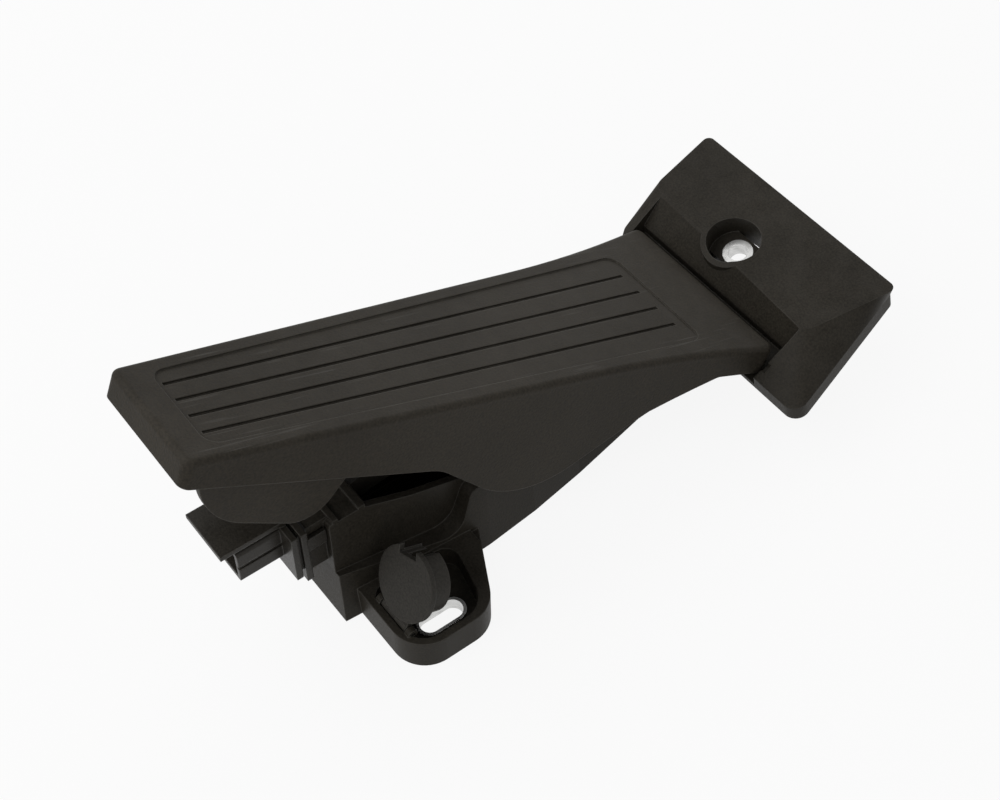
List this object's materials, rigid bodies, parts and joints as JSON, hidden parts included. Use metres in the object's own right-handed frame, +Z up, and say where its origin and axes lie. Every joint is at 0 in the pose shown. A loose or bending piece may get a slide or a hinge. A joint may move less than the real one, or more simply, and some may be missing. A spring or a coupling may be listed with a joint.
{
  "type": "accelerator pedal module",
  "caption": "Floor-hinged accelerator pedal on a moulded base, with return springs, a magnetic position sensor, a connector socket and a hinged bolt cap.",
  "frame": {"origin": "on the flat mounting face, on the treadle's mid-plane, in line with the ear's bolt slot", "axes": "+X across, away from the ear; +Y from the heel to the treadle's tip; +Z up from the mounting face"},
  "size_m": [0.1072, 0.2599, 0.1148],
  "materials": {
    "treadle_plastic": "fine matt grain, moulded",
    "black_plastic": "satin matt, glass-filled, moulded",
    "zinc_steel": "bright zinc plated, turned",
    "bright_steel": "ground",
    "spring_steel": "oiled wire",
    "acetal": "natural white, smooth",
    "lever_plastic": "dark grey, moulded",
    "ferrite": "dark grey, ground",
    "stop_rubber": "soft matt",
    "board_laminate": "green solder mask",
    "chip_resin": "matt resin",
    "capacitor_ceramic": "tan ceramic",
    "tinned_brass": "tin plated"
  },
  "bodies": {
    "base": {"base_frame": "black_plastic", "heel_bush": "zinc_steel", "ear_bush": "zinc_steel", "hinge_pin": "bright_steel", "lower_spring_seat": "acetal", "return_spring_outer": "spring_steel", "return_spring_inner": "spring_steel", "travel_stop": "stop_rubber", "rotor_bushes": "acetal", "cover_seal": "stop_rubber", "circuit_board": "board_laminate", "hall_sensors": "chip_resin", "board_capacitors": "capacitor_ceramic", "connector_terminals": "tinned_brass", "sensor_cover": "black_plastic"},
    "pedal": {"pedal_pad": "treadle_plastic", "hinge_bushes": "acetal", "drive_pin": "bright_steel", "upper_spring_cup": "acetal"},
    "rotor": {"rotor_lever": "lever_plastic", "rotor_shaft": "bright_steel", "rotor_magnet": "ferrite"},
    "cap": {"bolt_cap": "black_plastic"}
  },
  "joints": [
    {"name": "pedal_hinge", "type": "hinge", "parent": "base", "child": "pedal", "pos_m": [0, -0.13962, 0.02681], "axis": [1, 0, 0], "range_deg": [-10, 0], "stiffness_Nm_per_rad": 12, "springref_deg": 18.91, "deforming": ["return_spring_outer", "return_spring_inner"]},
    {"name": "rotor_turn", "type": "hinge", "parent": "base", "child": "rotor", "pos_m": [0, 0.0175, 0.0355], "axis": [1, 0, 0], "range_deg": [0, 23.9]},
    {"name": "cap_hinge", "type": "hinge", "parent": "base", "child": "cap", "pos_m": [-0.0368, 0.0137, 0.0125], "axis": [1, 0, 0], "range_deg": [-10, 65]}
  ],
  "couplings": [
    {"joint": "rotor_turn", "follows": "pedal_hinge", "ratio": -2.385}
  ]
}
